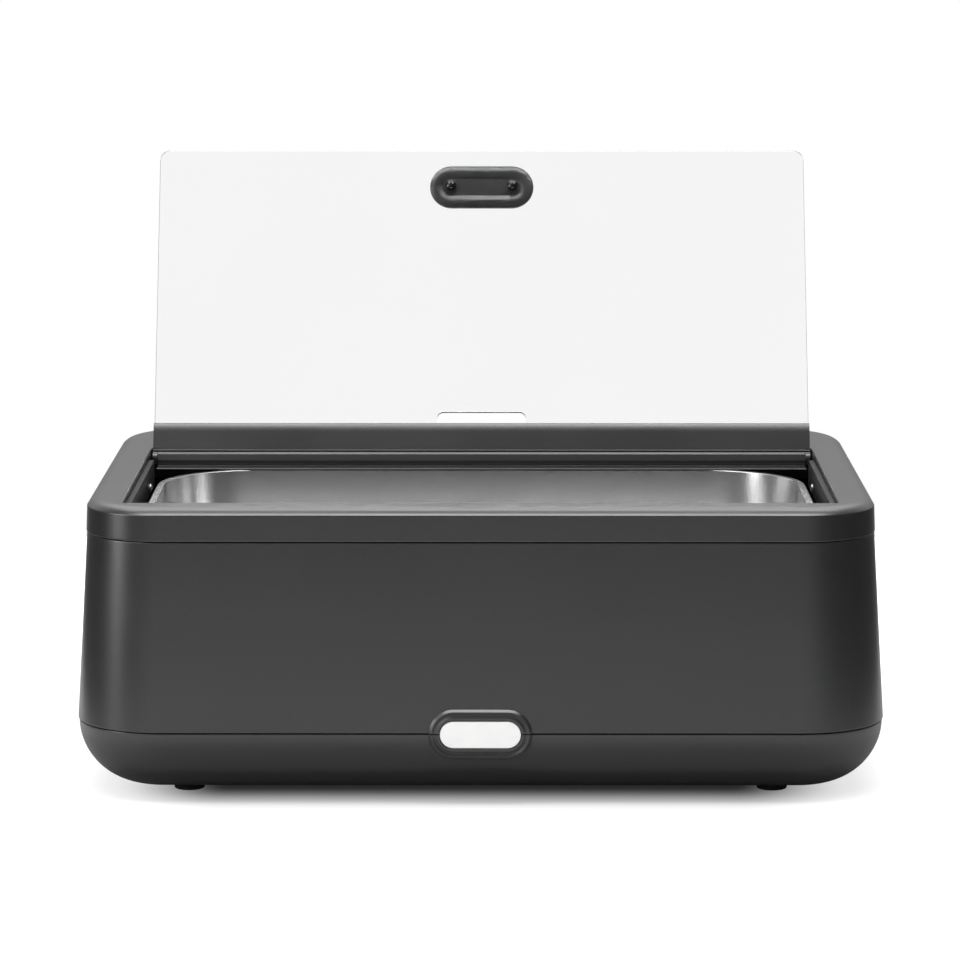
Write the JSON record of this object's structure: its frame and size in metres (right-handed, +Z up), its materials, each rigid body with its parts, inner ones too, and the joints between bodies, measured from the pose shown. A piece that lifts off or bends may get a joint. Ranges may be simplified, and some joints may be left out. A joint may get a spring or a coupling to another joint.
{
  "type": "chafing dish",
  "caption": "Electric chafing dish: black moulded body with a crowned rim, steel food pan over a water bath, and a clear lid hinged at the back, standing open.",
  "frame": {"origin": "on the table, under the middle of the whole outline", "axes": "+X along the long side to the right as seen from the front, +Y to the back, +Z up"},
  "size_m": [0.6348, 0.4628, 0.4758],
  "materials": {
    "black_plastic": "fine matt grain",
    "gloss_black_plastic": "satin gloss",
    "white_plastic": "satin",
    "clear_plastic": "polished clear",
    "amber_plastic": "translucent gloss",
    "rubber": "matt",
    "stainless": "bright satin",
    "aluminium": "plain",
    "zinc_steel": "zinc plated"
  },
  "bodies": {
    "body": {"base_tray": "black_plastic", "body_shell": "black_plastic", "rim_frame": "black_plastic", "lid_rest_left": "black_plastic", "lid_rest_right": "black_plastic", "lid_rest_front": "black_plastic", "hinge_base": "black_plastic", "support_frame": "black_plastic", "control_panel": "black_plastic", "switch_housing": "gloss_black_plastic", "power_inlet": "gloss_black_plastic", "thermal_cutout": "gloss_black_plastic", "badge_plate": "white_plastic", "indicator_lens": "amber_plastic", "foot_front_left": "rubber", "foot_screw_front_left": "zinc_steel", "frame_screw_front_left": "zinc_steel", "clamp_nut_front_left": "zinc_steel", "foot_front_right": "rubber", "foot_screw_front_right": "zinc_steel", "frame_screw_front_right": "zinc_steel", "clamp_nut_front_right": "zinc_steel", "foot_rear_left": "rubber", "foot_screw_rear_left": "zinc_steel", "frame_screw_rear_left": "zinc_steel", "clamp_nut_rear_left": "zinc_steel", "foot_rear_right": "rubber", "foot_screw_rear_right": "zinc_steel", "frame_screw_rear_right": "zinc_steel", "clamp_nut_rear_right": "zinc_steel", "rest_screw_left_1": "zinc_steel", "rest_screw_left_2": "zinc_steel", "hinge_pin_left": "zinc_steel", "clamp_bar_left": "zinc_steel", "rest_screw_right_1": "zinc_steel", "rest_screw_right_2": "zinc_steel", "hinge_pin_right": "zinc_steel", "clamp_bar_right": "zinc_steel", "heating_element": "zinc_steel", "heat_shield": "zinc_steel", "thermostat": "zinc_steel", "inlet_pins": "zinc_steel", "heat_spreader": "aluminium", "water_bath": "stainless", "food_pan": "stainless"},
    "lid": {"lid_sheet": "clear_plastic", "hinge_bar": "black_plastic", "lid_handle": "black_plastic", "handle_screw_left": "zinc_steel", "handle_screw_right": "zinc_steel", "handle_washer_left": "zinc_steel", "handle_washer_right": "zinc_steel"},
    "knob": {"thermostat_knob": "gloss_black_plastic"},
    "rocker": {"switch_rocker": "gloss_black_plastic"}
  },
  "joints": [
    {"name": "lid_hinge", "type": "hinge", "parent": "body", "child": "lid", "pos_m": [0, 0.0861, 0.2243], "axis": [1, 0, 0], "range_deg": [0, 113.4]},
    {"name": "thermostat_knob_turn", "type": "hinge", "parent": "body", "child": "knob", "pos_m": [-0.062, 0.2124, 0.1212], "axis": [0, -1, 0], "range_deg": [0, 270]},
    {"name": "switch_rocker_tilt", "type": "hinge", "parent": "body", "child": "rocker", "pos_m": [0.01, 0.2134, 0.1212], "axis": [-1, 0, 0], "range_deg": [0, 14]}
  ]
}
